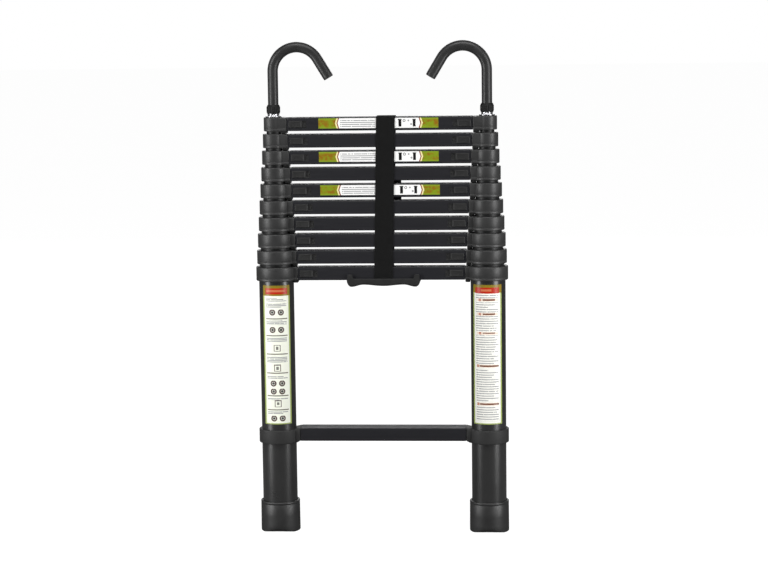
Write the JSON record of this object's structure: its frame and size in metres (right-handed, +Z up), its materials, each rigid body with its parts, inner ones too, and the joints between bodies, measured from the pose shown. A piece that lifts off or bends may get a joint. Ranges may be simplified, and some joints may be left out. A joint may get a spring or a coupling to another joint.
{
  "type": "telescoping ladder",
  "caption": "Closed telescoping ladder: nested round stiles with moulded collars, stacked rungs with thumb releases, two bent-rod hooks, rubber feet and a webbing strap.",
  "frame": {"origin": "on the ground, midway between the two feet and midway front to back", "axes": "+Z up along the stiles, +X to the ladder's right-hand stile as seen from the front, -Y out of the front, where the thumb releases are"},
  "size_m": [0.4722, 0.0752, 0.9222],
  "materials": {
    "coated_aluminium": "dark grey powder coat on the tubes, the moulded collars the same grey, satin",
    "black_anodised_rung": "black anodised extrusion, satin",
    "slide_nylon": "black nylon with the steel pin moulded in",
    "foot_rubber": "black rubber, matt",
    "black_nylon": "black nylon, fine grain",
    "coated_steel": "black plastic-dipped round steel bar",
    "zinc_plate": "bright zinc plate",
    "polyester_webbing": "black woven webbing"
  },
  "bodies": {
    "section_01": {"stile_01_left": "coated_aluminium", "stile_01_right": "coated_aluminium", "rung_01": "black_anodised_rung", "rung_02": "black_anodised_rung", "foot_left": "foot_rubber", "foot_right": "foot_rubber", "carry_handle": "black_nylon"},
    "section_02": {"stile_02_left": "coated_aluminium", "stile_02_right": "coated_aluminium", "rung_03": "black_anodised_rung"},
    "section_03": {"stile_03_left": "coated_aluminium", "stile_03_right": "coated_aluminium", "rung_04": "black_anodised_rung"},
    "section_04": {"stile_04_left": "coated_aluminium", "stile_04_right": "coated_aluminium", "rung_05": "black_anodised_rung"},
    "section_05": {"stile_05_left": "coated_aluminium", "stile_05_right": "coated_aluminium", "rung_06": "black_anodised_rung"},
    "section_06": {"stile_06_left": "coated_aluminium", "stile_06_right": "coated_aluminium", "rung_07": "black_anodised_rung"},
    "section_07": {"stile_07_left": "coated_aluminium", "stile_07_right": "coated_aluminium", "rung_08": "black_anodised_rung"},
    "section_08": {"stile_08_left": "coated_aluminium", "stile_08_right": "coated_aluminium", "rung_09": "black_anodised_rung"},
    "section_09": {"stile_09_left": "coated_aluminium", "stile_09_right": "coated_aluminium", "rung_10": "black_anodised_rung"},
    "section_10": {"stile_10_left": "coated_aluminium", "stile_10_right": "coated_aluminium", "rung_11": "black_anodised_rung", "hook_socket_left": "zinc_plate", "hook_socket_right": "zinc_plate", "strap": "polyester_webbing"},
    "hook_left": {"hook_left": "coated_steel"},
    "hook_nut_left": {"hook_nut_left": "black_nylon"},
    "hook_right": {"hook_right": "coated_steel"},
    "hook_nut_right": {"hook_nut_right": "black_nylon"},
    "release_slide_02_left": {"release_slide_02_left": "slide_nylon"},
    "release_slide_02_right": {"release_slide_02_right": "slide_nylon"},
    "release_slide_03_left": {"release_slide_03_left": "slide_nylon"},
    "release_slide_03_right": {"release_slide_03_right": "slide_nylon"},
    "release_slide_04_left": {"release_slide_04_left": "slide_nylon"},
    "release_slide_04_right": {"release_slide_04_right": "slide_nylon"},
    "release_slide_05_left": {"release_slide_05_left": "slide_nylon"},
    "release_slide_05_right": {"release_slide_05_right": "slide_nylon"},
    "release_slide_06_left": {"release_slide_06_left": "slide_nylon"},
    "release_slide_06_right": {"release_slide_06_right": "slide_nylon"},
    "release_slide_07_left": {"release_slide_07_left": "slide_nylon"},
    "release_slide_07_right": {"release_slide_07_right": "slide_nylon"},
    "release_slide_08_left": {"release_slide_08_left": "slide_nylon"},
    "release_slide_08_right": {"release_slide_08_right": "slide_nylon"},
    "release_slide_09_left": {"release_slide_09_left": "slide_nylon"},
    "release_slide_09_right": {"release_slide_09_right": "slide_nylon"},
    "release_slide_10_left": {"release_slide_10_left": "slide_nylon"},
    "release_slide_10_right": {"release_slide_10_right": "slide_nylon"}
  },
  "joints": [
    {"name": "section_02_extend", "type": "slide", "parent": "section_01", "child": "section_02", "axis": [0, 0, 1], "range_m": [0, 0.274]},
    {"name": "section_03_extend", "type": "slide", "parent": "section_02", "child": "section_03", "axis": [0, 0, 1], "range_m": [0, 0.274]},
    {"name": "section_04_extend", "type": "slide", "parent": "section_03", "child": "section_04", "axis": [0, 0, 1], "range_m": [0, 0.274]},
    {"name": "section_05_extend", "type": "slide", "parent": "section_04", "child": "section_05", "axis": [0, 0, 1], "range_m": [0, 0.274]},
    {"name": "section_06_extend", "type": "slide", "parent": "section_05", "child": "section_06", "axis": [0, 0, 1], "range_m": [0, 0.274]},
    {"name": "section_07_extend", "type": "slide", "parent": "section_06", "child": "section_07", "axis": [0, 0, 1], "range_m": [0, 0.274]},
    {"name": "section_08_extend", "type": "slide", "parent": "section_07", "child": "section_08", "axis": [0, 0, 1], "range_m": [0, 0.274]},
    {"name": "section_09_extend", "type": "slide", "parent": "section_08", "child": "section_09", "axis": [0, 0, 1], "range_m": [0, 0.274]},
    {"name": "section_10_extend", "type": "slide", "parent": "section_09", "child": "section_10", "axis": [0, 0, 1], "range_m": [0, 0.274]},
    {"name": "hook_left_turn", "type": "hinge", "parent": "section_10", "child": "hook_left", "pos_m": [-0.1985, 0, 0.7835], "axis": [0, 0, 1], "continuous": true},
    {"name": "hook_right_turn", "type": "hinge", "parent": "section_10", "child": "hook_right", "pos_m": [0.1985, 0, 0.7835], "axis": [0, 0, 1], "continuous": true},
    {"name": "hook_nut_left_turn", "type": "hinge", "parent": "section_10", "child": "hook_nut_left", "pos_m": [-0.1985, 0, 0.7899], "axis": [0, 0, 1], "continuous": true},
    {"name": "hook_nut_right_turn", "type": "hinge", "parent": "section_10", "child": "hook_nut_right", "pos_m": [0.1985, 0, 0.7899], "axis": [0, 0, 1], "continuous": true},
    {"name": "release_slide_02_left_press", "type": "slide", "parent": "section_01", "child": "release_slide_02_left", "axis": [1, 0, 0], "range_m": [0, 0.008], "stiffness_N_per_m": 800, "springref_m": -0.004},
    {"name": "release_slide_02_right_press", "type": "slide", "parent": "section_01", "child": "release_slide_02_right", "axis": [-1, 0, 0], "range_m": [0, 0.008], "stiffness_N_per_m": 800, "springref_m": -0.004},
    {"name": "release_slide_03_left_press", "type": "slide", "parent": "section_02", "child": "release_slide_03_left", "axis": [1, 0, 0], "range_m": [0, 0.008], "stiffness_N_per_m": 800, "springref_m": -0.004},
    {"name": "release_slide_03_right_press", "type": "slide", "parent": "section_02", "child": "release_slide_03_right", "axis": [-1, 0, 0], "range_m": [0, 0.008], "stiffness_N_per_m": 800, "springref_m": -0.004},
    {"name": "release_slide_04_left_press", "type": "slide", "parent": "section_03", "child": "release_slide_04_left", "axis": [1, 0, 0], "range_m": [0, 0.008], "stiffness_N_per_m": 800, "springref_m": -0.004},
    {"name": "release_slide_04_right_press", "type": "slide", "parent": "section_03", "child": "release_slide_04_right", "axis": [-1, 0, 0], "range_m": [0, 0.008], "stiffness_N_per_m": 800, "springref_m": -0.004},
    {"name": "release_slide_05_left_press", "type": "slide", "parent": "section_04", "child": "release_slide_05_left", "axis": [1, 0, 0], "range_m": [0, 0.008], "stiffness_N_per_m": 800, "springref_m": -0.004},
    {"name": "release_slide_05_right_press", "type": "slide", "parent": "section_04", "child": "release_slide_05_right", "axis": [-1, 0, 0], "range_m": [0, 0.008], "stiffness_N_per_m": 800, "springref_m": -0.004},
    {"name": "release_slide_06_left_press", "type": "slide", "parent": "section_05", "child": "release_slide_06_left", "axis": [1, 0, 0], "range_m": [0, 0.008], "stiffness_N_per_m": 800, "springref_m": -0.004},
    {"name": "release_slide_06_right_press", "type": "slide", "parent": "section_05", "child": "release_slide_06_right", "axis": [-1, 0, 0], "range_m": [0, 0.008], "stiffness_N_per_m": 800, "springref_m": -0.004},
    {"name": "release_slide_07_left_press", "type": "slide", "parent": "section_06", "child": "release_slide_07_left", "axis": [1, 0, 0], "range_m": [0, 0.008], "stiffness_N_per_m": 800, "springref_m": -0.004},
    {"name": "release_slide_07_right_press", "type": "slide", "parent": "section_06", "child": "release_slide_07_right", "axis": [-1, 0, 0], "range_m": [0, 0.008], "stiffness_N_per_m": 800, "springref_m": -0.004},
    {"name": "release_slide_08_left_press", "type": "slide", "parent": "section_07", "child": "release_slide_08_left", "axis": [1, 0, 0], "range_m": [0, 0.008], "stiffness_N_per_m": 800, "springref_m": -0.004},
    {"name": "release_slide_08_right_press", "type": "slide", "parent": "section_07", "child": "release_slide_08_right", "axis": [-1, 0, 0], "range_m": [0, 0.008], "stiffness_N_per_m": 800, "springref_m": -0.004},
    {"name": "release_slide_09_left_press", "type": "slide", "parent": "section_08", "child": "release_slide_09_left", "axis": [1, 0, 0], "range_m": [0, 0.008], "stiffness_N_per_m": 800, "springref_m": -0.004},
    {"name": "release_slide_09_right_press", "type": "slide", "parent": "section_08", "child": "release_slide_09_right", "axis": [-1, 0, 0], "range_m": [0, 0.008], "stiffness_N_per_m": 800, "springref_m": -0.004},
    {"name": "release_slide_10_left_press", "type": "slide", "parent": "section_09", "child": "release_slide_10_left", "axis": [1, 0, 0], "range_m": [0, 0.008], "stiffness_N_per_m": 800, "springref_m": -0.004},
    {"name": "release_slide_10_right_press", "type": "slide", "parent": "section_09", "child": "release_slide_10_right", "axis": [-1, 0, 0], "range_m": [0, 0.008], "stiffness_N_per_m": 800, "springref_m": -0.004}
  ]
}
